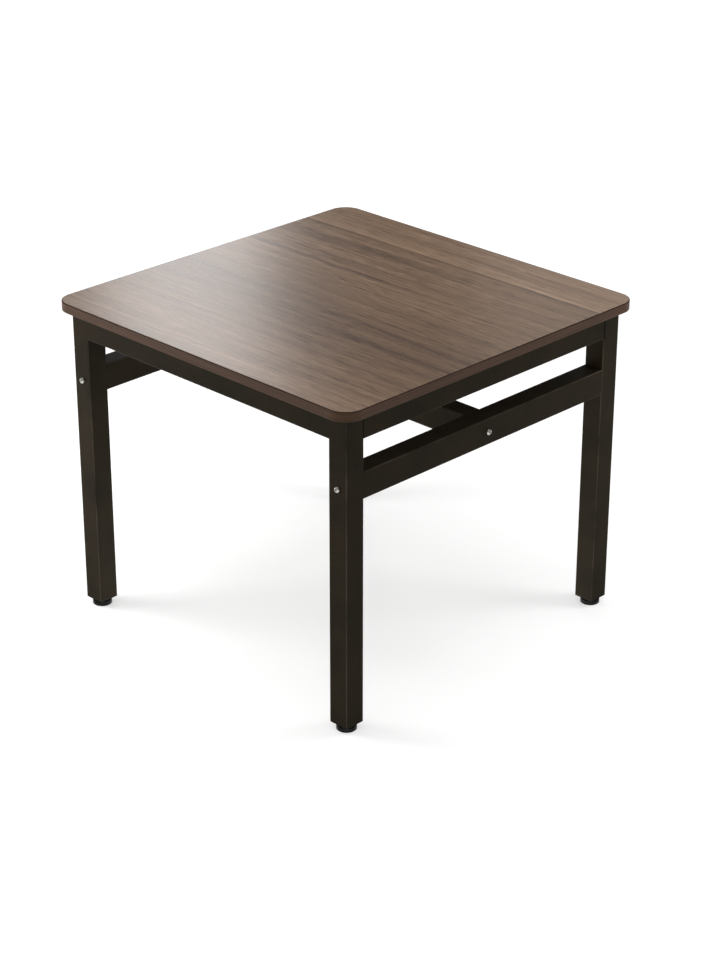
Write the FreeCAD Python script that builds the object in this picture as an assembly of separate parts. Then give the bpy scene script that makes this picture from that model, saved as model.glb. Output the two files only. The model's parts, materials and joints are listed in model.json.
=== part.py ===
import FreeCAD, Part
import math
import os

# Square dining table: laminate top on a bolted frame of steel tube, standing on levelling feet.
# The origin is on the floor under the middle of the top, +Z is up, sizes are in millimetres.

# Overall
table_height = 745.0          # floor to the upper face, feet screwed right in
top_width = 900.0             # square top, measured over the edge band
top_overhang = 28.0           # rim of the top to the outer faces of the legs

# Top
top_thickness = 22.0
top_corner_radius = 45.0
sheet_thickness = 0.8         # laminate on the upper face, backing on the lower face
band_thickness = 2.0
band_edge_radius = 1.6        # rounding along both edges of the band
glue_line = 0.05              # between the board and the band

# Tubes
leg_size = 50.0
leg_wall = 1.5
leg_corner_radius = 3.0
rail_height = 60.0            # rails are as deep as the legs are wide, so they lie flush on both sides
rail_wall = 1.5
rail_corner_radius = 3.0
rail_end_rounding = 0.7       # deburred ends of the rails that are bolted or sleeved
stretcher_gap = 72.0          # clear height between the aprons and the stretchers

# Bolted rail ends: a plate with a weld nut inside each end
bolt_diameter = 8.0
bolt_run_out = 2.5            # bolt past the nut
bolt_head_diameter = 14.0
bolt_head_height = 4.4
bolt_socket = 5.0             # across the flats of the hexagon socket
bolt_nut_width = 13.0         # across the flats
bolt_nut_height = 6.5
plate_thickness = 4.0
plate_inset = 2.0             # tube end to plate, room for the weld
weld_gap = 0.1                # plate edge to tube wall

# Sleeves that carry the ends of the left and right aprons, locked by screws from below
sleeve_length = 45.0
sleeve_wall = 2.0
sleeve_corner_radius = 3.5
sleeve_clearance = 0.4        # sleeve to the inside of the apron
lock_diameter = 6.0
lock_run_out = 3.1            # lock screw past the nut
lock_head_diameter = 10.5
lock_head_height = 3.3
lock_socket = 4.0
lock_nut_width = 10.0
lock_nut_height = 5.0

# Brackets that hold the top down
bracket_width = 40.0
bracket_drop = 26.0
bracket_reach = 30.0
bracket_sheet = 2.0
bracket_bend_radius = 3.0     # outside of the bend
bracket_corner_radius = 5.0
bracket_spacing = 440.0       # between the two brackets of one apron
screw_diameter = 4.0
screw_length = 16.0
screw_head_diameter = 8.0
screw_head_height = 2.4
screw_socket = 2.5

# Plugs in the leg bottoms
plug_flange = 3.0
plug_flange_rounding = 1.0
plug_depth = 22.0             # part of the plug inside the leg
plug_lead = 1.0               # chamfer that leads the plug into the tube
plug_wall = 2.5
plug_pocket_radius = 1.0
plug_rib = 2.0
plug_boss_diameter = 22.0
plug_clearance = 0.1          # plug to the inside of the leg

# Levelling feet: a nylon pad that swivels on a steel stud
pad_diameter = 44.0
pad_height = 12.0
pad_top_rounding = 3.0
pad_bottom_chamfer = 1.0
pad_floor = 4.0               # under the stud's swivel disc
swivel_diameter = 16.0
swivel_thickness = 3.0
stud_diameter = 8.0
stud_length = 34.0            # above the bottom of the leg, feet screwed right in
collar_width = 13.0           # spanner hexagon, across the flats
collar_height = 3.8
tip_chamfer = 1.0             # ends of studs, bolts and screws

# Screw heads, as shares of their height
head_rounding = 0.75
socket_floor = 0.45           # floor of the hexagon socket above the seat

# Clearances
bolt_clearance = 0.4          # radial, bolts and screws in their holes
thread_clearance = 0.1        # radial, bolts in nuts and screws in the board
nut_clearance = 0.1           # nut flats in the plug's pocket
running_clearance = 0.05      # radial and end float of the turning studs
stop_clearance = 0.1          # spanner hexagon to the pad and to the plug

# Places worked out from the sizes above
apron_top = table_height - top_thickness
apron_middle = apron_top - rail_height / 2
apron_bottom = apron_top - rail_height
stretcher_middle = apron_bottom - stretcher_gap - rail_height / 2
frame_half = top_width / 2 - top_overhang
leg_centre = frame_half - leg_size / 2
leg_inner = frame_half - leg_size
sleeve_middle = leg_inner - sleeve_length / 2
screw_line = leg_inner - (bracket_sheet + bracket_reach) / 2
leg_bottom = pad_height + collar_height + 2 * stop_clearance
tube_bottom = leg_bottom + plug_flange
plug_top = tube_bottom + plug_depth
bolt_length = leg_size + plate_inset + plate_thickness + bolt_nut_height + bolt_run_out
lock_length = rail_wall + sleeve_clearance + sleeve_wall + lock_nut_height + lock_run_out

x_axis = FreeCAD.Vector(1, 0, 0)
y_axis = FreeCAD.Vector(0, 1, 0)
z_axis = FreeCAD.Vector(0, 0, 1)
corners = {"front_left": (-1, -1), "front_right": (1, -1), "rear_left": (-1, 1), "rear_right": (1, 1)}
sides = {"left": -1, "right": 1}
ends = {"front": -1, "rear": 1}
same_place = 1e-4             # closer than this counts as touching
nodes = {}


def moved(shape, x, y, z):
    return shape.translated(FreeCAD.Vector(x, y, z))


def pointed(shape, direction, place):
    # takes a shape made along +Z to a place, pointing along direction
    return shape.transformed(FreeCAD.Placement(place, FreeCAD.Rotation(z_axis, direction)).toMatrix())


def edges_at(shape, height):
    # edges that lie in the level plane at a height
    return [edge for edge in shape.Edges
            if max(abs(edge.BoundBox.ZMin - height), abs(edge.BoundBox.ZMax - height)) < same_place]


def edges_along(shape, axis):
    # straight edges parallel to an axis
    return [edge for edge in shape.Edges if edge.Curve.TypeId == "Part::GeomLine"
            and abs(edge.tangentAt(edge.FirstParameter).dot(axis)) > 0.999]


def end_edges(bar, axis):
    # edges round both end faces of a centred bar
    reach = max(vertex.Point.dot(axis) for vertex in bar.Vertexes)
    return [edge for edge in bar.Edges
            if all(abs(abs(vertex.Point.dot(axis)) - reach) < same_place for vertex in edge.Vertexes)]


def rounded_bar(size, axis, radius):
    # bar centred on the origin, rounded along the edges parallel to axis
    bar = Part.makeBox(*size, FreeCAD.Vector(*size) * -0.5)
    return bar.makeFillet(radius, edges_along(bar, axis))


def tube(size, axis, radius, wall, end_rounding=0.0):
    # hollow bar centred on the origin, open at both ends
    outer = rounded_bar(size, axis, radius)
    if end_rounding > 0:
        outer = outer.makeFillet(end_rounding, end_edges(outer, axis))
    across = FreeCAD.Vector(1, 1, 1) - axis
    bore = [length - 2 * wall * side for length, side in zip(size, across)]
    return outer.cut(rounded_bar(bore, axis, radius - wall))


def hexagon(width, height):
    # hexagonal prism standing on the XY plane, width across the flats
    reach = width / math.sqrt(3)
    angles = [math.radians(60 * corner) for corner in range(7)]
    ring = [FreeCAD.Vector(reach * math.cos(angle), reach * math.sin(angle), 0) for angle in angles]
    return Part.Face(Part.makePolygon(ring)).extrude(z_axis * height)


def hex_nut(width, height, bore_radius):
    return hexagon(width, height).cut(Part.makeCylinder(bore_radius, height))


def rod(diameter, length):
    # plain rod standing on the XY plane with a chamfered upper end
    bar = Part.makeCylinder(diameter / 2, length)
    return bar.makeChamfer(tip_chamfer, edges_at(bar, length))


def socket_screw(diameter, length, head_diameter, head_height, socket):
    # domed head above the XY plane with a hexagon socket, shank hanging below it
    head = Part.makeCylinder(head_diameter / 2, head_height)
    head = head.makeFillet(head_rounding * head_height, edges_at(head, head_height))
    shank = pointed(rod(diameter, length), -z_axis, FreeCAD.Vector())
    recess = moved(hexagon(socket, head_height), 0, 0, socket_floor * head_height)
    return head.fuse(shank).removeSplitter().cut(recess)


def square_plate(width, radius, bottom, top):
    # level square plate with rounded corners, centred on the Z axis
    plate = rounded_bar([width, width, top - bottom], z_axis, radius)
    return moved(plate, 0, 0, (bottom + top) / 2)


def bracket_places():
    # turn about Z and offset along the apron of each bracket
    return [(turn, side * bracket_spacing / 2) for turn in (0, 90, 180, 270) for side in (-1, 1)]


def on_each_apron(shape):
    # copies a shape made for the middle of the front apron to all bracket places
    copies = []
    for turn, offset in bracket_places():
        copy = moved(shape, offset, 0, 0)
        copy.rotate(FreeCAD.Vector(), z_axis, turn)
        copies.append(copy)
    return copies


def make_top():
    # chipboard core between two sheets, with a band glued round the rim
    board_width = top_width - 2 * (band_thickness + glue_line)
    board_radius = top_corner_radius - band_thickness - glue_line
    core_bottom = apron_top + sheet_thickness
    core_top = table_height - sheet_thickness
    pilot_depth = screw_length - bracket_sheet + tip_chamfer
    pilot = Part.makeCylinder(screw_diameter / 2 + thread_clearance, pilot_depth,
                              FreeCAD.Vector(0, -screw_line, apron_top))
    pilots = Part.makeCompound(on_each_apron(pilot))
    nodes["tabletop_laminate"] = square_plate(board_width, board_radius, core_top, table_height)
    nodes["tabletop_core"] = square_plate(board_width, board_radius, core_bottom, core_top).cut(pilots)
    nodes["tabletop_backing"] = square_plate(board_width, board_radius, apron_top, core_bottom).cut(pilots)
    rim = square_plate(top_width, top_corner_radius, apron_top, table_height)
    rim = rim.makeFillet(band_edge_radius, edges_at(rim, apron_top) + edges_at(rim, table_height))
    inside = square_plate(top_width - 2 * band_thickness, top_corner_radius - band_thickness,
                          apron_top, table_height)
    nodes["tabletop_edge_band"] = rim.cut(inside)


def make_legs():
    # square tubes with a hole through both walls for the stretcher bolt
    length = apron_top - tube_bottom
    post = tube([leg_size, leg_size, length], z_axis, leg_corner_radius, leg_wall)
    for corner, (side, end) in corners.items():
        x, y = side * leg_centre, end * leg_centre
        hole_start = FreeCAD.Vector(x, end * frame_half, stretcher_middle)
        hole = Part.makeCylinder(bolt_diameter / 2 + bolt_clearance, leg_size, hole_start, -y_axis * end)
        nodes["leg_" + corner] = moved(post, x, y, tube_bottom + length / 2).cut(hole)


def make_welded_aprons():
    # front and rear aprons, welded flush between their two legs
    rail = tube([2 * leg_inner, leg_size, rail_height], x_axis, rail_corner_radius, rail_wall)
    for name, end in ends.items():
        nodes["apron_" + name] = moved(rail, 0, end * leg_centre, apron_middle)


def make_sleeved_aprons():
    # left and right aprons, pushed over sleeves on the legs and locked from below
    rail = tube([leg_size, 2 * leg_inner, rail_height], y_axis,
                rail_corner_radius, rail_wall, rail_end_rounding)
    inside = rail_wall + sleeve_clearance
    sleeve = tube([leg_size - 2 * inside, sleeve_length, rail_height - 2 * inside],
                  y_axis, sleeve_corner_radius, sleeve_wall)
    screw = socket_screw(lock_diameter, lock_length, lock_head_diameter, lock_head_height, lock_socket)
    nut = hex_nut(lock_nut_width, lock_nut_height, lock_diameter / 2 + thread_clearance)
    hole = Part.makeCylinder(lock_diameter / 2 + bolt_clearance, rail_height / 2)
    screws = []
    nuts = []
    for side_name, side in sides.items():
        apron = moved(rail, side * leg_centre, 0, apron_middle)
        for end_name, end in ends.items():
            x, y = side * leg_centre, end * sleeve_middle
            lock_hole = moved(hole, x, y, apron_bottom)
            apron = apron.cut(lock_hole)
            nodes[f"apron_sleeve_{end_name}_{side_name}"] = moved(sleeve, x, y, apron_middle).cut(lock_hole)
            screws.append(pointed(screw, -z_axis, FreeCAD.Vector(x, y, apron_bottom)))
            nuts.append(moved(nut, x, y, apron_bottom + inside + sleeve_wall))
        nodes["apron_" + side_name] = apron
    nodes["apron_lock_screws"] = Part.makeCompound(screws)
    nodes["apron_lock_nuts"] = Part.makeCompound(nuts)


def end_plate(size, axis):
    # plate that fills the end of a rail, drilled for the bolt
    plate = rounded_bar(size, axis, rail_corner_radius - rail_wall)
    hole = Part.makeCylinder(bolt_diameter / 2 + bolt_clearance, 2 * plate_thickness,
                             -axis * plate_thickness, axis)
    return plate.cut(hole)


def make_stretchers_and_cross_rail():
    # bolted rails: the bolts pass through the leg or stretcher into a plate and nut inside the rail end
    width = leg_size - 2 * (rail_wall + weld_gap)
    height = rail_height - 2 * (rail_wall + weld_gap)
    bolt = socket_screw(bolt_diameter, bolt_length, bolt_head_diameter, bolt_head_height, bolt_socket)
    nut = hex_nut(bolt_nut_width, bolt_nut_height, bolt_diameter / 2 + thread_clearance)
    plate_place = leg_inner - plate_inset - plate_thickness / 2
    nut_place = leg_inner - plate_inset - plate_thickness
    side_plate = end_plate([width, plate_thickness, height], y_axis)
    cross_plate = end_plate([plate_thickness, width, height], x_axis)
    stretcher = tube([leg_size, 2 * leg_inner, rail_height], y_axis,
                     rail_corner_radius, rail_wall, rail_end_rounding)
    cross_rail = tube([2 * leg_inner, leg_size, rail_height], x_axis,
                      rail_corner_radius, rail_wall, rail_end_rounding)
    stretcher_bolts = []
    cross_bolts = []
    nuts = []
    for side_name, side in sides.items():
        outward = x_axis * side
        face = FreeCAD.Vector(side * frame_half, 0, stretcher_middle)
        hole = Part.makeCylinder(bolt_diameter / 2 + bolt_clearance, leg_size, face, -outward)
        nodes["stretcher_" + side_name] = moved(stretcher, side * leg_centre, 0, stretcher_middle).cut(hole)
        plate_name = f"cross_rail_{side_name}_plate"
        nodes[plate_name] = moved(cross_plate, side * plate_place, 0, stretcher_middle)
        cross_bolts.append(pointed(bolt, outward, face))
        nuts.append(pointed(nut, -outward, FreeCAD.Vector(side * nut_place, 0, stretcher_middle)))
        for end_name, end in ends.items():
            outward = y_axis * end
            x = side * leg_centre
            face = FreeCAD.Vector(x, end * frame_half, stretcher_middle)
            plate_name = f"stretcher_{side_name}_{end_name}_plate"
            nodes[plate_name] = moved(side_plate, x, end * plate_place, stretcher_middle)
            stretcher_bolts.append(pointed(bolt, outward, face))
            nuts.append(pointed(nut, -outward, FreeCAD.Vector(x, end * nut_place, stretcher_middle)))
    nodes["cross_rail"] = moved(cross_rail, 0, 0, stretcher_middle)
    nodes["stretcher_bolts"] = Part.makeCompound(stretcher_bolts)
    nodes["cross_rail_bolts"] = Part.makeCompound(cross_bolts)
    nodes["rail_weld_nuts"] = Part.makeCompound(nuts)


def make_top_brackets():
    # bent sheet angles on the inner faces of the aprons, each with one screw up into the board
    outline = [(0, 0), (bracket_reach, 0), (bracket_reach, -bracket_sheet), (bracket_sheet, -bracket_sheet),
               (bracket_sheet, -bracket_drop), (0, -bracket_drop), (0, 0)]
    start = -bracket_width / 2
    profile = Part.makePolygon([FreeCAD.Vector(start, y - leg_inner, z + apron_top) for y, z in outline])
    angle = Part.Face(profile).extrude(x_axis * bracket_width)
    bends = {bracket_bend_radius: (0, 0),
             bracket_bend_radius - bracket_sheet: (bracket_sheet, -bracket_sheet)}
    for radius, (y, z) in bends.items():
        fold = FreeCAD.Vector(0, y - leg_inner, z + apron_top)
        angle = angle.makeFillet(radius, [edge for edge in edges_along(angle, x_axis)
                                          if (edge.CenterOfMass - fold).Length < same_place])
    free_corners = [edge for edge in edges_along(angle, y_axis) + edges_along(angle, z_axis)
                    if edge.Length < bracket_sheet + same_place]
    angle = angle.makeFillet(bracket_corner_radius, free_corners)
    hole_place = FreeCAD.Vector(0, -screw_line, apron_top - bracket_sheet)
    angle = angle.cut(Part.makeCylinder(screw_diameter / 2 + bolt_clearance, bracket_sheet, hole_place))
    screw = socket_screw(screw_diameter, screw_length, screw_head_diameter, screw_head_height, screw_socket)
    nodes["top_brackets"] = Part.makeCompound(on_each_apron(angle))
    nodes["top_screws"] = Part.makeCompound(on_each_apron(pointed(screw, -z_axis, hole_place)))


def leg_plug():
    # ribbed insert with a flange under the tube end, a bored boss and a pocket for the nut
    flange = rounded_bar([leg_size, leg_size, plug_flange], z_axis, leg_corner_radius)
    flange = flange.makeFillet(plug_flange_rounding, edges_at(flange, -plug_flange / 2))
    outside = leg_size - 2 * (leg_wall + plug_clearance)
    inside = outside - 2 * plug_wall
    block = rounded_bar([outside, outside, plug_depth], z_axis, leg_corner_radius - leg_wall)
    block = block.makeChamfer(plug_lead, edges_at(block, plug_depth / 2))
    shell = block.cut(rounded_bar([inside, inside, plug_depth], z_axis, plug_pocket_radius))
    boss = moved(Part.makeCylinder(plug_boss_diameter / 2, plug_depth), 0, 0, -plug_depth / 2)
    ribs = [Part.makeBox(*size, FreeCAD.Vector(*size) * -0.5)
            for size in ([inside, plug_rib, plug_depth], [plug_rib, inside, plug_depth])]
    insert = moved(shell.fuse([boss] + ribs), 0, 0, tube_bottom + plug_depth / 2)
    plug = moved(flange, 0, 0, leg_bottom + plug_flange / 2).fuse(insert).removeSplitter()
    bore = Part.makeCylinder(stud_diameter / 2 + running_clearance, plug_flange + plug_depth,
                             FreeCAD.Vector(0, 0, leg_bottom))
    pocket = hexagon(bolt_nut_width + 2 * nut_clearance, bolt_nut_height)
    return plug.cut(bore).cut(moved(pocket, 0, 0, plug_top - bolt_nut_height))


def foot_pad():
    # round pad with a blind socket that traps the stud's swivel disc
    pad = Part.makeCylinder(pad_diameter / 2, pad_height)
    pad = pad.makeFillet(pad_top_rounding, edges_at(pad, pad_height))
    pad = pad.makeChamfer(pad_bottom_chamfer, edges_at(pad, 0))
    socket = Part.makeCylinder(swivel_diameter / 2 + running_clearance,
                               swivel_thickness + 2 * running_clearance,
                               FreeCAD.Vector(0, 0, pad_floor - running_clearance))
    neck = Part.makeCylinder(stud_diameter / 2 + running_clearance, pad_height,
                             FreeCAD.Vector(0, 0, pad_floor))
    return pad.cut(socket.fuse(neck))


def foot_stud():
    # swivel disc, neck, spanner hexagon and screw in one turned piece
    disc = Part.makeCylinder(swivel_diameter / 2, swivel_thickness, FreeCAD.Vector(0, 0, pad_floor))
    screw = moved(rod(stud_diameter, leg_bottom + stud_length - pad_floor), 0, 0, pad_floor)
    collar = moved(hexagon(collar_width, collar_height), 0, 0, pad_height + stop_clearance)
    return disc.fuse([screw, collar]).removeSplitter()


def make_feet():
    plug = leg_plug()
    pad = foot_pad()
    stud = foot_stud()
    nut = hex_nut(bolt_nut_width, bolt_nut_height, stud_diameter / 2 + running_clearance)
    nuts = []
    for corner, (side, end) in corners.items():
        x, y = side * leg_centre, end * leg_centre
        nodes["leg_plug_" + corner] = moved(plug, x, y, 0)
        nodes["foot_pad_" + corner] = moved(pad, x, y, 0)
        nodes["foot_stud_" + corner] = moved(stud, x, y, 0)
        nuts.append(moved(nut, x, y, plug_top - bolt_nut_height))
    nodes["foot_nuts"] = Part.makeCompound(nuts)


make_top()
make_legs()
make_welded_aprons()
make_sleeved_aprons()
make_stretchers_and_cross_rail()
make_top_brackets()
make_feet()

os.makedirs("parts", exist_ok=True)
for name, shape in nodes.items():
    shape.exportStep(f"parts/{name}.step")
    print(f"{name}: {len(shape.Solids)} solid(s), {shape.Volume / 1000:.2f} cm3, valid {shape.isValid()}")
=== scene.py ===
import json
import math

import bmesh
import bpy
from mathutils import Matrix, Quaternion, Vector


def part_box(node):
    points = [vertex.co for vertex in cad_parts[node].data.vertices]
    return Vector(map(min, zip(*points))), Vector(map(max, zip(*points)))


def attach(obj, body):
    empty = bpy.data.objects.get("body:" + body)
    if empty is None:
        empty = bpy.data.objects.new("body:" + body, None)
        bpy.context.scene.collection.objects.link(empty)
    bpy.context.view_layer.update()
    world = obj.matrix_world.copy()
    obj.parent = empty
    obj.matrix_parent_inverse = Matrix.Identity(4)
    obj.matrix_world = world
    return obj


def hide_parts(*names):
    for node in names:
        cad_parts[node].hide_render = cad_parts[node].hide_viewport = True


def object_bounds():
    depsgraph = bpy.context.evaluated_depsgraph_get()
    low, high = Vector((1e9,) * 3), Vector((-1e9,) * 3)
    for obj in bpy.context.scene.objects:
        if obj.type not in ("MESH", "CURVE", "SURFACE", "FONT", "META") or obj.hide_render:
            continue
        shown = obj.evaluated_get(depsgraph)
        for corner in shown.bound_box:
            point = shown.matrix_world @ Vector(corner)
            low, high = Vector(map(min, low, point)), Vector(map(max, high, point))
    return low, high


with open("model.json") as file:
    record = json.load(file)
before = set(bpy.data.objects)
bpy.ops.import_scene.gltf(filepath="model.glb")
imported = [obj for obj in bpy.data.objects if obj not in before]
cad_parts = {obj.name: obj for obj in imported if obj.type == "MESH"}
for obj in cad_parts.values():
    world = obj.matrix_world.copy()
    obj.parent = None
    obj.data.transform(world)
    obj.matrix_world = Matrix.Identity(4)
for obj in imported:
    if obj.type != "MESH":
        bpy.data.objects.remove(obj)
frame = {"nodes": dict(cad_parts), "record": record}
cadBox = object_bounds()  # the CAD model's own box, before anything is added
mm = 0.001
scene = bpy.context.scene
nodes = frame["nodes"]
corners = ("front_left", "front_right", "rear_left", "rear_right")
print("frame loaded:", len(nodes), "nodes")


def linear(hexColour):
    # sRGB hex such as "#6b5849" to the linear colour that Blender's sockets take
    channels = [int(hexColour[i:i + 2], 16) / 255 for i in (1, 3, 5)]
    return [c / 12.92 if c <= 0.04045 else ((c + 0.055) / 1.055) ** 2.4 for c in channels] + [1.0]


def perMetre(size):
    # a pattern's scale from its size in mm
    return 1 / (size * mm)


def setInputs(tree, node, inputs):
    # inputs are (socket, value or the socket to link from)
    for name, value in inputs:
        if isinstance(value, bpy.types.NodeSocket):
            tree.links.new(value, node.inputs[name])
        else:
            node.inputs[name].default_value = value


def addNode(tree, kind, inputs=(), stops=(), **settings):
    # stops are a colour ramp's (place, hex colour or grey)
    node = tree.nodes.new("ShaderNode" + kind)
    for name, value in settings.items():
        setattr(node, name, value)
    setInputs(tree, node, inputs)
    for i, (place, colour) in enumerate(stops):
        ramp = node.color_ramp.elements
        stop = ramp[i] if i < 2 else ramp.new(place)
        stop.position = place
        stop.color = linear(colour) if isinstance(colour, str) else (colour, colour, colour, 1.0)
    return node


def spans(source, target):
    # a MapRange's limits, from one pair of values to another
    return [("From Min", source[0]), ("From Max", source[1]), ("To Min", target[0]), ("To Max", target[1])]


def newMaterial(name):
    material = bpy.data.materials.new(name)
    material.use_nodes = True
    tree = material.node_tree
    tree.nodes.clear()
    coat = addNode(tree, "BsdfPrincipled")
    addNode(tree, "OutputMaterial", [("Surface", coat.outputs[0])])
    where = addNode(tree, "TexCoord").outputs["Object"]  # metres in the table's own frame
    return material, tree, coat, where


# Walnut-pattern melamine laminate, pressed against a satin plate: long straight streaks in printed planks,
# a low broad sheen that shows the shape of a window, and a faint grain to the touch.
# Places are in mm from the front edge, sizes in mm.
walnut = {
    "tones": ((0, 0.56), (120, 0.54), (220, 0.44), (295, 0.32), (345, 0.30), (395, 0.40), (465, 0.47),
              (515, 0.56), (640, 0.53), (773, 0.54), (773, 0.70), (800, 0.68), (835, 0.64), (900, 0.72)),
    "toneScale": 0.8,
    # dark streaks in the left and right half: place, width, strength
    "leftStreaks": ((94, 10, 0.30), (190, 14, 0.25), (299, 12, 0.40), (380, 16, 0.20), (510, 20, 0.35),
                    (585, 15, 0.85), (654, 9, 0.50), (712, 44, 0.40), (765, 10, 0.45), (860, 14, 0.30)),
    "rightStreaks": ((60, 9, 0.40), (120, 12, 0.35), (188, 10, 0.60), (230, 16, 0.25), (299, 11, 0.40),
                     (368, 12, 0.55), (474, 14, 0.45), (640, 22, 0.20), (766, 9, 0.40), (850, 10, 0.25)),
    "halves": (-45.0, 180.0),      # from the middle, where the left streaks give way to the right ones
    "streakShare": 0.42,
    "streakBack": 0.6,             # a streak ends more sharply towards the rear, by this share of its width
    # the broad bands' noise, and the strength that it gives the streaks
    "streakFade": ((0.65, 0.35), (0.35, 1.2)),
    # layers of the print: size, the part of the noise that shows, and what it adds to the tone
    "layers": {
        "band": {"width": 30.0, "length": 560.0, "limits": (0.25, 0.75), "adds": (-0.18, 0.18)},
        "streak": {"width": 9.0, "length": 360.0, "limits": (0.25, 0.75), "adds": (-0.13, 0.13)},
        # pores and flecks are really 0.3 mm wide, drawn coarser so that they show in the render
        "pore": {"width": 4.2, "length": 70.0, "limits": (0.54, 0.68), "adds": (0.0, -0.37)},
        "fleck": {"width": 3.6, "length": 60.0, "limits": (0.56, 0.69), "adds": (0.0, 0.28)},
    },
    "wander": 7.0,                 # how far the grain strays sideways, and over what length
    "wanderLength": 454.5,
    "joint": 773.0,                # where one printed plank meets the next
    "jointWidth": 9.0,
    # places in joint widths and the tone of the line there, 0.5 adds nothing
    "jointTones": ((-1.4, 0.5), (-0.5, 0.34), (-0.2, 0.38), (0.2, 0.74), (0.6, 0.74), (1.2, 0.5)),
    "newPlank": (37.0, 11.0, 5.0),  # how far the print jumps at the joint, in noise cells
    "patchLength": 150.0,          # the joint's line fades in and out over this
    "patchLimits": (0.35, 0.62),
    "patchLeast": 0.3,
    # tone to colour, the palest is the line at the joint
    "colours": ((0.0, "#483528"), (0.4, "#6f5743"), (0.8, "#977b62"), (1.0, "#b89f86")),
    "roughness": (0.27, 0.22),     # in the pores and beside them
    "roughnessLimits": (0.3, 0.7),
    "grainDepth": 0.03,
    "grainStrength": 0.4,
    "ior": 1.5,
}


def makeWalnutLaminate():
    w = walnut
    material, tree, coat, where = newMaterial("walnut_print_melamine_pressed_satin")
    low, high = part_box("tabletop_edge_band")
    width = (high.y - low.y) / mm
    stray = w["wander"] * mm
    sway = addNode(tree, "TexNoise", [("Vector", where), ("Scale", perMetre(w["wanderLength"])),
                                      ("Detail", 1.0)])
    swayY = addNode(tree, "MapRange", [("Value", sway.outputs[0])] + spans((0.0, 1.0), (-stray, stray)))
    swayVector = addNode(tree, "CombineXYZ", [("Y", swayY.outputs[0])])
    bent = addNode(tree, "VectorMath", [(0, where), (1, swayVector.outputs[0])], operation="ADD").outputs[0]
    straight = addNode(tree, "SeparateXYZ", [("Vector", where)]).outputs
    wavy = addNode(tree, "SeparateXYZ", [("Vector", bent)]).outputs
    depth = spans((low.y, high.y), (0.0, 1.0))
    across = addNode(tree, "MapRange", [("Value", straight["Y"])] + depth).outputs[0]
    acrossWavy = addNode(tree, "MapRange", [("Value", wavy["Y"])] + depth).outputs[0]
    toneStops = [(place / width, tone) for place, tone in w["tones"]]
    tone = addNode(tree, "ValToRGB", [("Fac", across)], toneStops).outputs[0]
    # the print starts afresh at the joint
    plank = addNode(tree, "Math", [(0, across), (1, w["joint"] / width)], operation="GREATER_THAN")
    shift = addNode(tree, "VectorMath", [(0, plank.outputs[0]), (1, w["newPlank"])], operation="MULTIPLY")
    noise = {}
    for name, layer in w["layers"].items():
        scale = (perMetre(layer["length"]), perMetre(layer["width"]), 0.0)
        stretched = addNode(tree, "VectorMath", [(0, bent), (1, scale), (2, shift.outputs[0])],
                            operation="MULTIPLY_ADD")
        noise[name] = addNode(tree, "TexNoise", [("Vector", stretched.outputs[0]), ("Scale", 1.0),
                                                 ("Detail", 3.0), ("Roughness", 0.55)]).outputs[0]
        part = addNode(tree, "MapRange", [("Value", noise[name])] + spans(layer["limits"], layer["adds"]))
        tone = addNode(tree, "Math", [(0, tone), (1, part.outputs[0])], operation="ADD").outputs[0]
    halves = []
    for side in ("left", "right"):
        stops = [(0.0, 0.0)]
        for place, wide, strength in w[side + "Streaks"]:
            ends = ((place - wide) / width, (place + wide * w["streakBack"]) / width)
            stops += [(ends[0], 0.0), (place / width, strength), (ends[1], 0.0)]
        halves.append(addNode(tree, "ValToRGB", [("Fac", acrossWavy)], stops).outputs[0])
    middle = (w["halves"][0] * mm, w["halves"][1] * mm)
    along = addNode(tree, "MapRange", [("Value", straight["X"])] + spans(middle, (0.0, 1.0)))
    streaks = addNode(tree, "Mix", [("Factor", along.outputs[0]), ("A", halves[0]), ("B", halves[1])],
                      data_type="RGBA")
    fade = addNode(tree, "MapRange", [("Value", noise["band"])] + spans(*w["streakFade"]))
    faded = addNode(tree, "Math", [(0, streaks.outputs["Result"]), (1, fade.outputs[0])],
                    operation="MULTIPLY")
    tone = addNode(tree, "Math", [(0, faded.outputs[0]), (1, -w["streakShare"]), (2, tone)],
                   operation="MULTIPLY_ADD").outputs[0]
    # a dark and a pale line at the joint, stronger in some places than in others
    jointStops = [((w["joint"] + offset * w["jointWidth"]) / width, value)
                  for offset, value in w["jointTones"]]
    joint = addNode(tree, "ValToRGB", [("Fac", across)], jointStops)
    lined = addNode(tree, "MapRange", [("Value", joint.outputs[0])] + spans((0.0, 1.0), (-0.5, 0.5)))
    patch = addNode(tree, "TexNoise", [("Vector", where), ("Scale", perMetre(w["patchLength"])),
                                       ("Detail", 2.0)])
    patchy = addNode(tree, "MapRange", [("Value", patch.outputs[0])]
                     + spans(w["patchLimits"], (w["patchLeast"], 1.0)))
    broken = addNode(tree, "Math", [(0, lined.outputs[0]), (1, patchy.outputs[0])], operation="MULTIPLY")
    tone = addNode(tree, "Math", [(0, tone), (1, w["toneScale"]), (2, broken.outputs[0])],
                   operation="MULTIPLY_ADD").outputs[0]
    colour = addNode(tree, "ValToRGB", [("Fac", tone)], w["colours"])
    sheen = addNode(tree, "MapRange", [("Value", noise["pore"])]
                    + spans(w["roughnessLimits"], w["roughness"]))
    relief = addNode(tree, "Bump", [("Height", noise["pore"]), ("Distance", w["grainDepth"] * mm),
                                    ("Strength", w["grainStrength"])])
    setInputs(tree, coat, [("Base Color", colour.outputs[0]), ("Roughness", sheen.outputs[0]),
                           ("Normal", relief.outputs[0]), ("IOR", w["ior"])])
    return material


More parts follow.
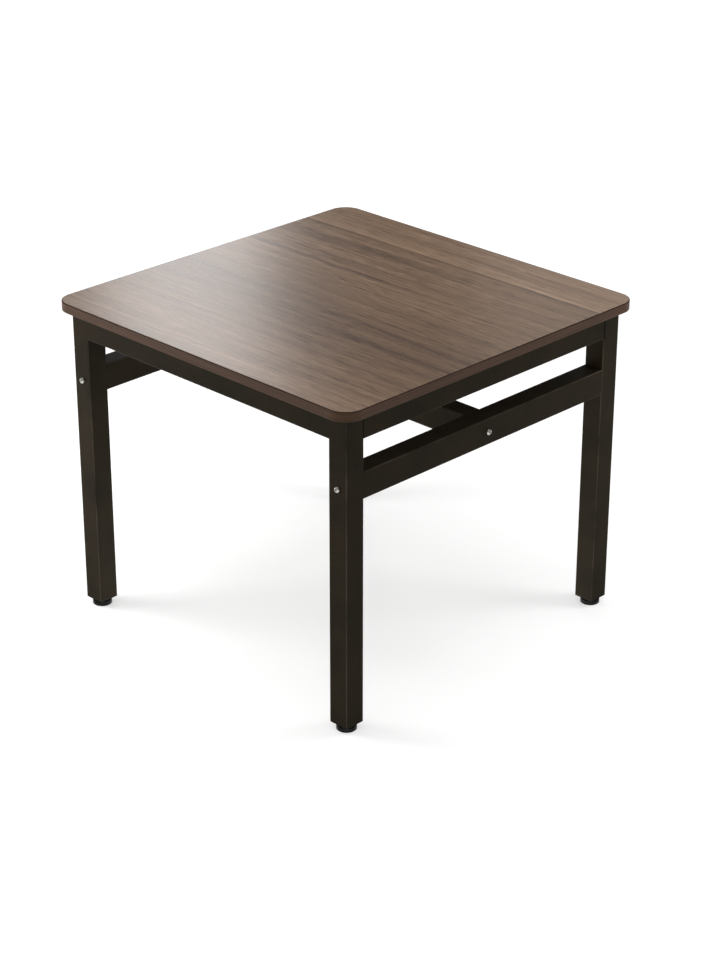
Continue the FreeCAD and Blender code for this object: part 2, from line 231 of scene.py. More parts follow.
# ABS edge band, extruded and printed dark brown: a plain soft-edged strip with faint long streaks,
# darker in a narrow strip along its upper edge. Sizes in mm.
band = {
    "dark": "#33251b",
    "light": "#4e392b",
    "limits": (0.25, 0.75),        # the part of the noise that runs from dark to light
    "streakHeight": 2.4,
    "streakLength": 160.0,
    "edgeColour": "#271a13",
    "edgeShade": (2.2, 0.88),      # below the upper edge, where the darkening starts and where it is full
    "roughness": (0.38, 0.5),
    "specular": 0.09,
    "ior": 1.53,
}


def makeEdgeBand():
    material, tree, coat, where = newMaterial("abs_edge_band_extruded")
    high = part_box("tabletop_edge_band")[1].z
    lengthwise = perMetre(band["streakLength"])
    scale = (lengthwise, lengthwise, perMetre(band["streakHeight"]))
    stretched = addNode(tree, "VectorMath", [(0, where), (1, scale)], operation="MULTIPLY")
    streak = addNode(tree, "TexNoise", [("Vector", stretched.outputs[0]), ("Scale", 1.0),
                                        ("Detail", 3.0)]).outputs[0]
    colour = addNode(tree, "ValToRGB", [("Fac", streak)],
                     zip(band["limits"], (band["dark"], band["light"])))
    height = addNode(tree, "SeparateXYZ", [("Vector", where)]).outputs["Z"]
    shade = [high - depth * mm for depth in band["edgeShade"]]
    edge = addNode(tree, "MapRange", [("Value", height)] + spans(shade, (0.0, 1.0)))
    shaded = addNode(tree, "Mix", [("Factor", edge.outputs[0]), ("A", colour.outputs[0]),
                                   ("B", linear(band["edgeColour"]))], data_type="RGBA")
    rough = addNode(tree, "MapRange", [("Value", streak)] + spans((0.0, 1.0), band["roughness"]))
    setInputs(tree, coat, [("Base Color", shaded.outputs["Result"]), ("Roughness", rough.outputs[0]),
                           ("IOR", band["ior"]), ("Specular IOR Level", band["specular"])])
    return material


# Polyester powder coat, sprayed and baked on mild steel: near-black, warm, low sheen, with a fine orange
# peel, paler over the rounded edges of the tube as a painted highlight, partly the coat drawing thin there,
# and with painted shade in the grooves where the side aprons meet the legs. Sizes in mm.
powder = {
    "dark": "#19160f",
    "light": "#261f15",
    # paler colour on rounded edges: painted highlight, partly the coat drawing thin
    "thinCoatAndHighlight": "#464037",
    "limits": (0.35, 0.65),        # the part of the noise that runs from dark to light
    "cloudSize": 90.0,
    "peelSize": 3.0,               # really 1 mm, drawn coarser so that it shows in the render
    "peelShare": 0.5,              # how much of the mottle the peel makes, clouds make the rest
    "peelDepth": 0.04,
    "peelStrength": 0.5,
    "edgeLimits": (0.995, 0.88),   # largest part of the normal, on a flat face and well round an edge
    "thinAndHighlightLeast": 0.3,              # the painted edge highlight comes in patches, nowhere less than this
    # near-black colour of the painted shade in those grooves
    "grooveShadeColour": "#040403",
    "jointWidth": 3.2,             # painted shade in the grooves between the side aprons and the legs: its width, and its soft edges
    "grooveShadeEdge": 0.6,
    "roughness": (0.46, 0.56),
    "roughnessLimits": (0.3, 0.7),
    "specular": 0.04,
    "tint": "#fff4e4",
    "ior": 1.5,
}


def makePowderCoat():
    p = powder
    material, tree, coat, where = newMaterial("polyester_powder_coat_baked")
    cloud = addNode(tree, "TexNoise", [("Vector", where), ("Scale", perMetre(p["cloudSize"])),
                                       ("Detail", 2.0)])
    peel = addNode(tree, "TexNoise", [("Vector", where), ("Scale", perMetre(p["peelSize"])),
                                      ("Detail", 1.0)])
    mottle = addNode(tree, "Mix", [("Factor", p["peelShare"]), ("A", cloud.outputs[0]),
                                   ("B", peel.outputs[0])])
    colour = addNode(tree, "ValToRGB", [("Fac", mottle.outputs[0])],
                     zip(p["limits"], (p["dark"], p["light"])))
    # flat faces look straight along an axis, rounded edges between two
    normal = addNode(tree, "NewGeometry").outputs["Normal"]
    facing = addNode(tree, "VectorMath", [(0, normal)], operation="ABSOLUTE")
    axes = addNode(tree, "SeparateXYZ", [("Vector", facing.outputs[0])]).outputs
    flat = addNode(tree, "Math", [(0, axes["X"]), (1, axes["Y"])], operation="MAXIMUM")
    flat = addNode(tree, "Math", [(0, flat.outputs[0]), (1, axes["Z"])], operation="MAXIMUM")
    edge = addNode(tree, "MapRange", [("Value", flat.outputs[0])] + spans(p["edgeLimits"], (0.0, 1.0)))
    patchy = addNode(tree, "MapRange", [("Value", cloud.outputs[0])]
                     + spans(p["limits"], (p["thinAndHighlightLeast"], 1.0)))
    # painted highlight on the rounded edges, in patches, partly the coat drawing thin there
    thinAndHighlightMask = addNode(tree, "Math", [(0, edge.outputs[0]), (1, patchy.outputs[0])], operation="MULTIPLY")
    thinAndHighlighted = addNode(tree, "Mix", [("Factor", thinAndHighlightMask.outputs[0]), ("A", colour.outputs[0]),
                                 ("B", linear(p["thinCoatAndHighlight"]))], data_type="RGBA")
    # painted shade in the groove where the side aprons butt against the rounded corners of the legs
    low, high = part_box("apron_right")
    apart = addNode(tree, "VectorMath", [(0, where)], operation="ABSOLUTE")
    away = addNode(tree, "SeparateXYZ", [("Vector", apart.outputs[0])]).outputs  # same on all four sides
    soft = p["grooveShadeEdge"] * mm
    end = high.y + p["jointWidth"] * mm
    opens = addNode(tree, "MapRange", [("Value", away["Y"])] + spans((high.y - soft, high.y), (0.0, 1.0)))
    closes = addNode(tree, "MapRange", [("Value", away["Y"])] + spans((end, end - soft), (0.0, 1.0)))
    beside = addNode(tree, "Math", [(0, away["X"]), (1, low.x)], operation="GREATER_THAN")
    above = addNode(tree, "Math", [(0, away["Z"]), (1, low.z)], operation="GREATER_THAN")
    grooveShadeMask = opens.outputs[0]
    for limit in (closes, beside, above):
        grooveShadeMask = addNode(tree, "Math", [(0, grooveShadeMask), (1, limit.outputs[0])], operation="MULTIPLY").outputs[0]
    grooveShaded = addNode(tree, "Mix", [("Factor", grooveShadeMask), ("A", thinAndHighlighted.outputs["Result"]),
                                    ("B", linear(p["grooveShadeColour"]))], data_type="RGBA")
    rough = addNode(tree, "MapRange", [("Value", peel.outputs[0])]
                    + spans(p["roughnessLimits"], p["roughness"]))
    relief = addNode(tree, "Bump", [("Height", peel.outputs[0]), ("Distance", p["peelDepth"] * mm),
                                    ("Strength", p["peelStrength"])])
    setInputs(tree, coat, [("Base Color", grooveShaded.outputs["Result"]), ("Roughness", rough.outputs[0]),
                           ("Normal", relief.outputs[0]), ("IOR", p["ior"]),
                           ("Specular IOR Level", p["specular"]), ("Specular Tint", linear(p["tint"]))])
    return material


# Mild steel with zinc plate gone slightly dull: pale grey, faintly yellow metal with a cloudy shine.
# Sizes in mm.
zinc = {
    "dark": "#a3a19b",
    "light": "#d0cdc6",
    "limits": (0.3, 0.7),
    "cloudSize": 3.5,
    "roughness": (0.40, 0.24),     # in the dark clouds and in the light ones
    "pitDepth": 0.003,
    "pitStrength": 0.4,
}


def makeZincPlate():
    z = zinc
    material, tree, coat, where = newMaterial("mild_steel_zinc_plated")
    cloud = addNode(tree, "TexNoise", [("Vector", where), ("Scale", perMetre(z["cloudSize"])),
                                       ("Detail", 4.0)]).outputs[0]
    colour = addNode(tree, "ValToRGB", [("Fac", cloud)], zip(z["limits"], (z["dark"], z["light"])))
    rough = addNode(tree, "MapRange", [("Value", cloud)] + spans((0.0, 1.0), z["roughness"]))
    relief = addNode(tree, "Bump", [("Height", cloud), ("Distance", z["pitDepth"] * mm),
                                    ("Strength", z["pitStrength"])])
    setInputs(tree, coat, [("Base Color", colour.outputs[0]), ("Roughness", rough.outputs[0]),
                           ("Normal", relief.outputs[0]), ("Metallic", 1.0)])
    return material


# PA6 nylon, moulded in a spark-eroded tool: black with a fine even matt texture that scatters the light.
# Sizes in mm.
nylon = {
    "dark": "#090807",
    "light": "#11100f",
    "limits": (0.3, 0.7),
    "sparkSize": 1.4,              # really 0.1 mm, drawn coarser so that it shows in the render
    "sparkDepth": 0.03,
    "sparkStrength": 0.6,
    "roughness": (0.45, 0.62),
    "specular": 0.08,
    "ior": 1.53,
}


def makeNylon():
    n = nylon
    material, tree, coat, where = newMaterial("pa6_nylon_moulded")
    spark = addNode(tree, "TexNoise", [("Vector", where), ("Scale", perMetre(n["sparkSize"])),
                                       ("Detail", 2.0)]).outputs[0]
    colour = addNode(tree, "ValToRGB", [("Fac", spark)], zip(n["limits"], (n["dark"], n["light"])))
    rough = addNode(tree, "MapRange", [("Value", spark)] + spans((0.0, 1.0), n["roughness"]))
    relief = addNode(tree, "Bump", [("Height", spark), ("Distance", n["sparkDepth"] * mm),
                                    ("Strength", n["sparkStrength"])])
    setInputs(tree, coat, [("Base Color", colour.outputs[0]), ("Roughness", rough.outputs[0]),
                           ("Normal", relief.outputs[0]), ("IOR", n["ior"]),
                           ("Specular IOR Level", n["specular"])])
    return material


# Chipboard, pressed from softwood chips: pale straw flakes lying flat, dry and dull. Sizes in mm.
chips = {
    "dark": "#8f7350",
    "light": "#c9ac80",
    "chipLength": 6.0,
    "chipThickness": 1.2,
    "chipDepth": 0.1,
    "chipStrength": 0.5,
    "roughness": 0.85,
}


def makeChipboard():
    material, tree, coat, where = newMaterial("chipboard_pressed_raw")
    flatwise = perMetre(chips["chipLength"])
    scale = (flatwise, flatwise, perMetre(chips["chipThickness"]))
    stretched = addNode(tree, "VectorMath", [(0, where), (1, scale)], operation="MULTIPLY")
    chip = addNode(tree, "TexVoronoi", [("Vector", stretched.outputs[0]), ("Scale", 1.0)]).outputs
    colour = addNode(tree, "ValToRGB", [("Fac", chip["Color"])],
                     ((0.0, chips["dark"]), (1.0, chips["light"])))
    relief = addNode(tree, "Bump", [("Height", chip["Distance"]), ("Distance", chips["chipDepth"] * mm),
                                    ("Strength", chips["chipStrength"])])
    setInputs(tree, coat, [("Base Color", colour.outputs[0]), ("Normal", relief.outputs[0]),
                           ("Roughness", chips["roughness"])])
    return material


# Melamine balancing sheet, pressed matt: a flat grey-brown paper colour with faint clouds and fibres.
# Sizes in mm.
backing = {
    "dark": "#6f6256",
    "light": "#7d7063",
    "limits": (0.35, 0.65),
    "cloudSize": 45.0,
    "fibreSize": 1.5,              # really 0.1 mm wide, drawn coarser so that they show in the render
    "fibreShare": 0.5,
    "roughness": (0.5, 0.62),
    "ior": 1.5,
}


def makeBackingSheet():
    b = backing
    material, tree, coat, where = newMaterial("melamine_backing_pressed_matt")
    cloud = addNode(tree, "TexNoise", [("Vector", where), ("Scale", perMetre(b["cloudSize"])),
                                       ("Detail", 5.0)])
    fibre = addNode(tree, "TexNoise", [("Vector", where), ("Scale", perMetre(b["fibreSize"])),
                                       ("Detail", 2.0)])
    tone = addNode(tree, "Mix", [("Factor", b["fibreShare"]), ("A", cloud.outputs[0]),
                                 ("B", fibre.outputs[0])])
    colour = addNode(tree, "ValToRGB", [("Fac", tone.outputs[0])],
                     zip(b["limits"], (b["dark"], b["light"])))
    rough = addNode(tree, "MapRange", [("Value", fibre.outputs[0])] + spans((0.0, 1.0), b["roughness"]))
    setInputs(tree, coat, [("Base Color", colour.outputs[0]), ("Roughness", rough.outputs[0]),
                           ("IOR", b["ior"])])
    return material


finishes = {
    "walnut_laminate": makeWalnutLaminate(),
    "edge_band": makeEdgeBand(),
    "black_powder_coat": makePowderCoat(),
    "zinc_plated_steel": makeZincPlate(),
    "black_nylon": makeNylon(),
    "chipboard": makeChipboard(),
    "backing_sheet": makeBackingSheet(),
}
for part in frame["record"]["subparts"]:
    for materialSlot in nodes[part["node"]].material_slots:
        materialSlot.material = finishes[part["material_slot"]]
print("materials made:", len(finishes))

sharpAngle = 38.0  # degrees, edges flatter than this are shaded smooth


def addPiece(name, mesh, slot, body, replaced=()):
    # turns a bmesh into a named piece with its finish, riding on a CAD body
    bmesh.ops.recalc_face_normals(mesh, faces=mesh.faces)
    data = bpy.data.meshes.new(name)
    mesh.to_mesh(data)
    mesh.free()
    data.shade_smooth()
    data.set_sharp_from_angle(angle=math.radians(sharpAngle))
    data.materials.append(finishes[slot])
    piece = bpy.data.objects.new(name, data)
    scene.collection.objects.link(piece)
    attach(piece, body)
    if replaced:
        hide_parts(*replaced)


def hexRadius(flats, angle):
    # distance from the middle to a hexagon's side, flats is the width across them
    return flats / 2 / math.cos((angle + math.pi / 6) % (math.pi / 3) - math.pi / 6)


def spin(mesh, rows, columns, place):
    # closed turned shape: rows of (height, radius or a function of the angle), capped at both ends
    rings = []
    for height, radius in rows:
        ring = []
        for column in range(columns):
            angle = 2 * math.pi * column / columns
            r = radius(angle) if callable(radius) else radius
            ring.append(mesh.verts.new(place @ Vector((r * math.cos(angle), r * math.sin(angle), height))))
        rings.append(ring)
    for lower, upper in zip(rings, rings[1:]):
        for column in range(columns):
            after = (column + 1) % columns
            mesh.faces.new((lower[column], lower[after], upper[after], upper[column]))
    mesh.faces.new(rings[0][::-1])
    mesh.faces.new(rings[-1])


# Edge band swept round the top, with rounded edges. Sizes in mm.
rim = {
    "corner": 45.0,
    "thickness": 2.0,
    "rounding": 1.6,
    "cornerSteps": 24,
    "roundingSteps": 6,
    "level": 0.4,                  # extra rows beside the roundings that keep the flat side flat
    "lead": 1.6,                   # and beside the corners
}


def makeRim():
    low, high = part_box("tabletop_edge_band")
    rounding = rim["rounding"] * mm
    thickness = rim["thickness"] * mm
    profile = [(thickness, low.z)]  # (distance in from the outline, height)
    for middle, first, inward in ((low.z + rounding, -90, 1), (high.z - rounding, 0, -1)):
        arc = []
        for step in range(rim["roundingSteps"] + 1):
            angle = math.radians(first + 90 * step / rim["roundingSteps"])
            arc.append((rounding * (1 - math.cos(angle)), middle + rounding * math.sin(angle)))
        level = [(0.0, middle + rim["level"] * mm * inward)]
        profile += arc + level if inward > 0 else level + arc
    profile.append((thickness, high.z))
    mesh = bmesh.new()
    loops = []
    corner = rim["corner"] * mm
    for quarter, (sideX, sideY) in enumerate(((1, 1), (-1, 1), (-1, -1), (1, -1))):
        hub = Vector((high.x if sideX > 0 else low.x, high.y if sideY > 0 else low.y, 0))
        hub -= Vector((sideX, sideY, 0)) * corner
        for step in range(-1, rim["cornerSteps"] + 2):
            turned = min(max(step, 0), rim["cornerSteps"])
            angle = math.pi / 2 * (quarter + turned / rim["cornerSteps"])
            outward = Vector((math.cos(angle), math.sin(angle), 0))
            along = Vector((-math.sin(angle), math.cos(angle), 0))
            start = hub + along * (step - turned) * rim["lead"] * mm
            loops.append([mesh.verts.new(start + outward * (corner - inset) + Vector((0, 0, height)))
                          for inset, height in profile])
    for first, second in zip(loops, loops[1:] + loops[:1]):
        for k in range(len(profile)):
            after = (k + 1) % len(profile)
            mesh.faces.new((first[k], second[k], second[after], first[after]))
    addPiece("tabletop_rim", mesh, "edge_band", "frame", ["tabletop_edge_band"])


makeRim()
print("edge band swept")

# Levelling studs with their thread, which shows when a foot is screwed out.
# Sizes in mm, heights above the floor.
stud = {
    "thread": 8.0,
    "pitch": 1.25,
    "threadDepth": 0.68,
    "flankSlope": 2.4,             # higher makes the flanks narrower
    "rootWidth": 0.7,              # higher makes the bottom of the groove wider
    "rowsPerTurn": 6,
    "columns": 24,
    "discWidth": 16.0,
    "discTop": 7.0,
    "collarBottom": 12.1,
    "collarTop": 15.9,
    "collarFlats": 13.0,
    "collarChamfer": 0.5,          # along the collar, and in from its corners
    "collarBevel": 0.75,
    "runOut": 1.0,
}


def threadRadius(height):
    # right-hand thread: the crest climbs one pitch in a turn
    def radius(angle):
        turn = (height / stud["pitch"] - angle / (2 * math.pi)) % 1.0
        crest = min(max(stud["flankSlope"] * (1 - abs(2 * turn - 1)) - stud["rootWidth"], 0.0), 1.0)
        return (stud["thread"] / 2 - stud["threadDepth"] * (1 - crest)) * mm
    return radius


def makeStuds():
    s = stud
    flats = s["collarFlats"] * mm
    reach = flats / math.sqrt(3) - s["collarBevel"] * mm
    disc = s["discWidth"] / 2
    neck = s["thread"] / 2
    root = neck - s["threadDepth"]

    def collar(angle):
        return hexRadius(flats, angle)

    def bevelled(angle):
        return min(hexRadius(flats, angle), reach)

    for corner in corners:
        low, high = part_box("foot_stud_" + corner)
        rows = [(low.z, disc * mm), (s["discTop"] * mm, disc * mm), (s["discTop"] * mm, neck * mm)]
        rows += [(s["collarBottom"] * mm, neck * mm), (s["collarBottom"] * mm, bevelled)]
        rows += [((s["collarBottom"] + s["collarChamfer"]) * mm, collar)]
        rows += [((s["collarTop"] - s["collarChamfer"]) * mm, collar)]
        rows += [(s["collarTop"] * mm, bevelled), (s["collarTop"] * mm, root * mm)]
        rows += [((s["collarTop"] + s["runOut"]) * mm, root * mm)]
        step = s["pitch"] / s["rowsPerTurn"]
        height = s["collarTop"] + s["runOut"] + step
        while height < high.z / mm - s["runOut"]:
            rows.append((height * mm, threadRadius(height)))
            height += step
        rows.append((high.z, (neck - s["runOut"]) * mm))
        middle = (low + high) / 2
        mesh = bmesh.new()
        spin(mesh, rows, s["columns"], Matrix.Translation((middle.x, middle.y, 0)))
        addPiece("threaded_stud_" + corner, mesh, "zinc_plated_steel", "stud_" + corner,
                 ["foot_stud_" + corner])


makeStuds()
print("studs threaded")

# Button-head screws with a chamfered hexagon socket. Sizes in mm.
screws = {
    "stretcher_bolts": {"head": 14.0, "height": 4.4, "socket": 5.0, "shank": 8.0},
    "cross_rail_bolts": {"head": 14.0, "height": 4.4, "socket": 5.0, "shank": 8.0},
    "apron_lock_screws": {"head": 10.5, "height": 3.3, "socket": 4.0, "shank": 6.0},
    "top_screws": {"head": 8.0, "height": 2.4, "socket": 2.5, "shank": 4.0},
}
# Shape of every screw: heights as shares of the head's height, widths of the piece that is named.
screwShape = {
    "tip": (0.7, 0.3),             # shares of the shank's radius: the tip, and the length of its bevel
    "seat": (0.97, 0.03),          # share of the head's radius where it sits, and height of its bevel
    "rim": 0.24,                   # height where the dome starts
    "domeSteps": 8,
    "mouth": 1.04,                 # width of the socket's chamfer, of the width over its corners
    "chamfer": 0.93,               # heights in the socket: end of the chamfer, floor, tip of the drill cone
    "floor": 0.28,
    "cone": 0.12,
    "floorWidth": 0.8,
    "coneTip": 0.05,
    "columns": 36,
}


def islands(node):
    # boxes of a CAD node's separate solids, found by walking its mesh
    mesh = bmesh.new()
    mesh.from_mesh(nodes[node].data)
    bmesh.ops.remove_doubles(mesh, verts=mesh.verts, dist=0.01 * mm)  # faces come with corners of their own
    seen = set()
    boxes = []
    for first in mesh.verts:
        if first in seen:
            continue
        seen.add(first)
        group = [first]
        for vert in group:
            for edge in vert.link_edges:
                other = edge.other_vert(vert)
                if other not in seen:
                    seen.add(other)
                    group.append(other)
        sides = [[vert.co[axis] for vert in group] for axis in range(3)]
        boxes.append((Vector([min(side) for side in sides]), Vector([max(side) for side in sides])))
    mesh.free()
    return boxes


def screwRows(size, length):
    # profile from the shank's tip up over the dome and down into the socket, height 0 is under the head
    s = screwShape
    r = size["head"] / 2 * mm
    h = size["height"] * mm
    neck = size["shank"] / 2 * mm
    socket = size["socket"] * mm
    mouth = socket / math.sqrt(3) * s["mouth"]

    def hexagon(angle):
        return hexRadius(socket, angle)

    def socketFloor(angle):
        return hexRadius(socket * s["floorWidth"], angle)

    rows = [(-length, neck * s["tip"][0]), (-length + neck * s["tip"][1], neck), (0, neck)]
    rows += [(0, r * s["seat"][0]), (h * s["seat"][1], r), (h * s["rim"], r)]
    for k in range(1, s["domeSteps"] + 1):
        angle = math.pi / 2 * k / s["domeSteps"]
        rise = s["rim"] + (1 - s["rim"]) * math.sin(angle)
        rows.append((h * rise, mouth + (r - mouth) * math.cos(angle)))
    rows += [(h * s["chamfer"], hexagon), (h * s["floor"], hexagon), (h * s["floor"], socketFloor)]
    rows += [(h * s["cone"], mouth * s["coneTip"])]
    return rows


def makeScrews():
    for node, size in screws.items():
        mesh = bmesh.new()
        for low, high in islands(node):
            span = high - low
            axis = max(range(3), key=lambda k: span[k])
            # upright screws have their head below, the others on the outside of the table
            outward = Vector((0, 0, 0))
            outward[axis] = -1 if axis == 2 or low[axis] + high[axis] < 0 else 1
            crown = (low + high) / 2
            crown[axis] = low[axis] if outward[axis] < 0 else high[axis]
            turn = Vector((0, 0, 1)).rotation_difference(outward)
            place = Matrix.LocRotScale(crown - outward * size["height"] * mm, turn, None)
            rows = screwRows(size, span[axis] - size["height"] * mm)
            spin(mesh, rows, screwShape["columns"], place)
        addPiece("socket_" + node, mesh, "zinc_plated_steel", "frame", [node])


makeScrews()
print("screws made:", len(screws))

# Weld runs that join the front and rear aprons to the legs, under the powder coat. Sizes in mm.
weld = {
    "ripple": 2.4,
    "stepsPerRipple": 6,
    "tubeCorner": 3.0,
    # flush fill between the apron's end and the leg's rounded corner, as (across, outward)
    "flushRoot": (1.35, -2.25),
    "flushSides": ((-0.8, -0.5), (3.4, -0.4)),
    "flushCrown": 0.12,
    "flushRipple": 0.012,          # share by which a ripple swells the run
    "flushEnd": 1.0,               # size at its ends, which don't taper
    # rounded bead in the corner under the apron
    "beadRoot": (-0.2, -0.2),
    "beadRadius": 3.4,
    "beadRipple": 0.05,
    "beadEnd": 0.35,               # size at its ends, and how far they taper
    "beadTaper": 4.0,
    "beadGap": 3.0,
    "profileSteps": 6,
}


def weldRun(mesh, start, end, across, outward, profile, ripple, endSize):
    # sweeps a profile of (across, outward) points in mm along a line,
    # and swells it ripple by ripple about its first point
    length = (end - start).length / mm
    steps = max(2, round(length / weld["ripple"] * weld["stepsPerRipple"]))
    root = Vector(profile[0])
    rings = []
    for step in range(steps + 1):
        t = step / steps
        wave = 1 + ripple * math.sin(2 * math.pi * t * length / weld["ripple"])
        taper = min(1.0, endSize + (1 - endSize) * min(t, 1 - t) * length / weld["beadTaper"])
        ring = []
        for point in profile:
            u, v = root + (Vector(point) - root) * wave * taper
            ring.append(mesh.verts.new(start.lerp(end, t) + across * u * mm + outward * v * mm))
        rings.append(ring)
    count = len(profile)
    for first, second in zip(rings, rings[1:]):
        for k in range(count):
            after = (k + 1) % count
            mesh.faces.new((first[k], first[after], second[after], second[k]))
    mesh.faces.new(rings[0][::-1])
    mesh.faces.new(rings[-1])


def makeWelds():
    w = weld
    corner = w["tubeCorner"] * mm
    gap = w["beadGap"] * mm
    left, right = w["flushSides"]
    flush = [w["flushRoot"], left]
    bead = [w["beadRoot"]]
    for k in range(w["profileSteps"] + 1):
        share = k / w["profileSteps"]
        flush.append((left[0] + (right[0] - left[0]) * share, w["flushCrown"] * math.sin(math.pi * share)))
        angle = math.pi / 2 * share
        bead.append((w["beadRadius"] * math.cos(angle), w["beadRadius"] * math.sin(angle)))
    flush.append(right)
    for end in ("front", "rear"):
        low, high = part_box("apron_" + end)
        mesh = bmesh.new()
        for side, x in ((-1, low.x), (1, high.x)):
            across = Vector((side, 0, 0))
            for y, outward in ((low.y, Vector((0, -1, 0))), (high.y, Vector((0, 1, 0)))):
                bottom = Vector((x, y, low.z + corner))
                top = Vector((x, y, high.z - corner))
                weldRun(mesh, bottom, top, across, outward, flush, w["flushRipple"], w["flushEnd"])
            first = Vector((x, low.y + gap, low.z))
            last = Vector((x, high.y - gap, low.z))
            weldRun(mesh, first, last, -across, Vector((0, 0, -1)), bead, w["beadRipple"], w["beadEnd"])
        addPiece("apron_" + end + "_welds", mesh, "black_powder_coat", "frame")


makeWelds()
print("welds laid")

# Camera at the photograph's viewing angle. Angles in degrees, the rest in metres, lens and sensor in mm.
view = {
    "azimuth": 44.613,
    "elevation": 25.197,
    "roll": 0.077,
    "distance": 5.4228,
    "target": (0.02223, 0.02194, 0.30937),
    "lens": 90.33,
    "sensor": 36.0,                # along the taller side of the picture
}


def makeCamera():
    azimuth = math.radians(view["azimuth"])
    elevation = math.radians(view["elevation"])
    level = math.cos(elevation)
    back = Vector((math.sin(azimuth) * level, -math.cos(azimuth) * level, math.sin(elevation)))
    data = bpy.data.cameras.new("photo_camera")
    data.lens = view["lens"]
    data.sensor_width = view["sensor"]
    camera = bpy.data.objects.new("photo_camera", data)
    scene.collection.objects.link(camera)
    camera.location = Vector(view["target"]) + back * view["distance"]
    camera.rotation_mode = "QUATERNION"
    roll = Quaternion((0, 0, 1), math.radians(view["roll"]))
    camera.rotation_quaternion = (-back).to_track_quat("-Z", "Y") @ roll
    scene.camera = camera


makeCamera()
print("camera placed")

# Studio: white floor and background, a soft dome, a window-like softbox behind on the left, a broad light
# above, and weaker ones round the table that open up the dark frame, kept out of reflections in the top.
# Sizes in metres.
studio = {
    "dome": 0.55,                  # soft light from all round
    "backdrop": 0.968,             # white behind the floor, as bright as its far end, so no horizon shows
    "floorColour": "#d0d0d0",
    "floorGlow": (0.45, 0.62),     # lifts the floor to white, less near the table, where its shadow shows
    "glowReach": (0.8, 3.2),       # from the middle, where the glow grows from the first to the second
    "floorHalf": 30.0,
    "floorGap": 0.0002,
    "wallGlow": 0.14,              # grey walls that only reflections see, so the top keeps its colour
    "wallRadius": 6.0,
    "wallHeight": 9.0,
    "wallBase": 0.05,
    "wallSides": 48,
}
softboxes = {
    "window": {"place": (-4.26, 3.20, 2.99), "aim": (-0.25, -0.15, 0.745), "size": (0.76, 4.0),
               "lean": -3.0, "power": 29.5, "mirrored": True},
    "overhead": {"place": (0.0, -0.4, 3.8), "aim": (0.0, 0.0, 0.7), "size": (3.0, 3.0),
                 "lean": 0.0, "power": 47.0, "mirrored": True},
    "side": {"place": (-2.52, 4.75, 2.9), "aim": (0.3, 0.2, 0.745), "size": (2.0, 3.0),
             "lean": 0.0, "power": 7.5, "mirrored": True},
    "front": {"place": (-1.6, -1.35, 0.58), "aim": (-0.2, -0.2, 0.36), "size": (1.0, 0.9),
              "lean": 0.0, "power": 35.0, "mirrored": False},
    "rim": {"place": (1.3, 1.2, 0.9), "aim": (0.42, 0.35, 0.5), "size": (0.6, 1.0),
            "lean": 0.0, "power": 10.0, "mirrored": False},
    "fill": {"place": (2.6, -2.6, 1.3), "aim": (0.0, 0.0, 0.4), "size": (1.0, 1.0),
             "lean": 0.0, "power": 18.0, "mirrored": False},
    # reflector lying under the table, lights the inner sides of the legs and rails
    "card": {"place": (0.0, 0.0, 0.004), "aim": (0.0, 0.0, 0.7), "size": (0.84, 0.84),
             "lean": 0.0, "power": 3.8, "mirrored": True},
}


def seenDirectly(tree):
    # 1 for rays from the camera, reflections and clear materials, 0 for light on its way to a surface
    path = addNode(tree, "LightPath").outputs
    either = addNode(tree, "Math", [(0, path["Is Camera Ray"]), (1, path["Is Glossy Ray"])],
                     operation="MAXIMUM")
    return addNode(tree, "Math", [(0, either.outputs[0]), (1, path["Is Transmission Ray"])],
                   operation="MAXIMUM").outputs[0]


def emptyTree(owner):
    owner.use_nodes = True
    owner.node_tree.nodes.clear()
    return owner.node_tree


def addBackground(name, mesh, paint):
    data = bpy.data.meshes.new(name)
    mesh.to_mesh(data)
    mesh.free()
    data.materials.append(paint)
    background = bpy.data.objects.new(name, data)
    scene.collection.objects.link(background)
    return background


def makeWorld():
    scene.world = bpy.data.worlds.new("white_studio")
    tree = emptyTree(scene.world)
    white = linear("#ffffff")
    light = addNode(tree, "Background", [("Color", white), ("Strength", studio["dome"])])
    behind = addNode(tree, "Background", [("Color", white), ("Strength", studio["backdrop"])])
    mixed = addNode(tree, "MixShader", [("Fac", seenDirectly(tree)), (1, light.outputs[0]),
                                        (2, behind.outputs[0])])
    addNode(tree, "OutputWorld", [("Surface", mixed.outputs[0])])


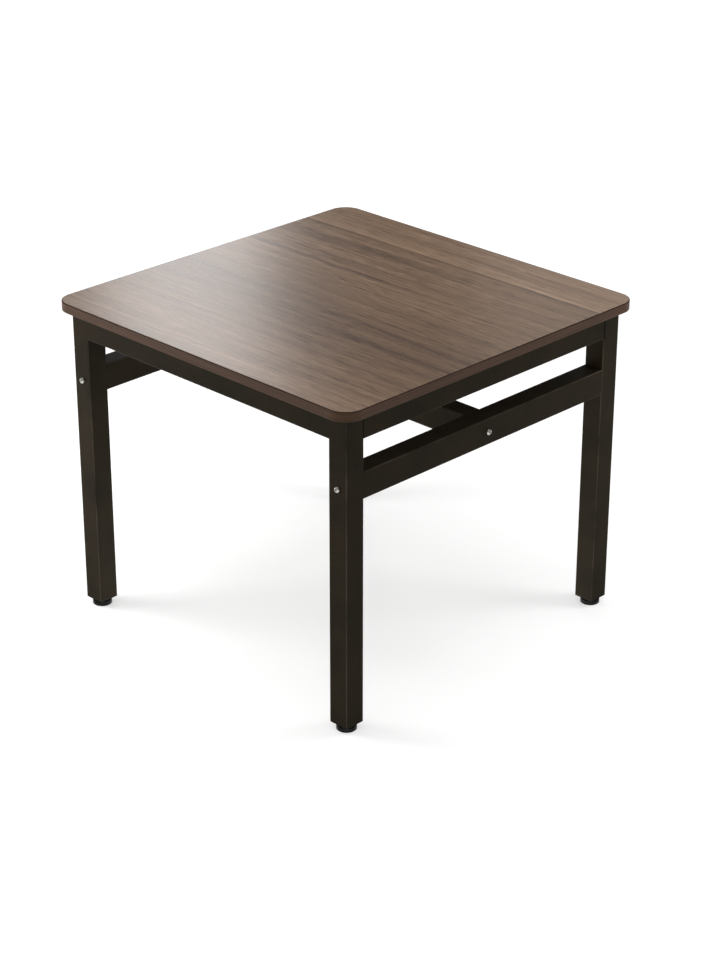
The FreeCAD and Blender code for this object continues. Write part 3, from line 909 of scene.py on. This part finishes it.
def makeFloor():
    paint = bpy.data.materials.new("studio_floor_paint")
    tree = emptyTree(paint)
    matt = addNode(tree, "BsdfDiffuse", [("Color", linear(studio["floorColour"]))])
    where = addNode(tree, "TexCoord").outputs["Object"]
    reach = addNode(tree, "VectorMath", [(0, where)], operation="LENGTH").outputs["Value"]
    grows = addNode(tree, "MapRange", [("Value", reach)] + spans(studio["glowReach"], studio["floorGlow"]),
                    interpolation_type="SMOOTHSTEP")
    lift = addNode(tree, "Math", [(0, seenDirectly(tree)), (1, grows.outputs[0])], operation="MULTIPLY")
    glow = addNode(tree, "Emission", [("Strength", lift.outputs[0])])
    both = addNode(tree, "AddShader", [(0, matt.outputs[0]), (1, glow.outputs[0])])
    addNode(tree, "OutputMaterial", [("Surface", both.outputs[0])])
    mesh = bmesh.new()
    bmesh.ops.create_grid(mesh, x_segments=1, y_segments=1, size=studio["floorHalf"])
    floor = addBackground("studio_floor", mesh, paint)
    floor.location.z = cadBox[0].z - studio["floorGap"]
    return floor


def makeWalls():
    paint = bpy.data.materials.new("studio_grey_drape")
    tree = emptyTree(paint)
    drape = addNode(tree, "Emission", [("Strength", studio["wallGlow"])])
    addNode(tree, "OutputMaterial", [("Surface", drape.outputs[0])])
    mesh = bmesh.new()
    bmesh.ops.create_cone(mesh, cap_ends=False, segments=studio["wallSides"], radius1=studio["wallRadius"],
                          radius2=studio["wallRadius"], depth=studio["wallHeight"])
    walls = addBackground("studio_grey_walls", mesh, paint)
    walls.location.z = studio["wallHeight"] / 2 + studio["wallBase"]
    walls.visible_camera = False
    walls.visible_diffuse = False
    walls.visible_shadow = False
    return walls


def hangSoftboxes():
    for name, box in softboxes.items():
        lamp = bpy.data.lights.new(name, "AREA")
        lamp.shape = "RECTANGLE"
        lamp.size, lamp.size_y = box["size"]
        lamp.energy = box["power"]
        holder = bpy.data.objects.new(name, lamp)
        scene.collection.objects.link(holder)
        holder.location = box["place"]
        aim = Vector(box["aim"]) - Vector(box["place"])
        lean = Quaternion((0, 0, 1), math.radians(box["lean"]))
        holder.rotation_mode = "QUATERNION"
        holder.rotation_quaternion = aim.to_track_quat("-Z", "Y") @ lean
        holder.visible_camera = False
        holder.visible_glossy = box["mirrored"]


makeWorld()
floor = makeFloor()
walls = makeWalls()
hangSoftboxes()
scene.view_settings.view_transform = "Standard"
print("studio set:", len(softboxes), "softboxes")
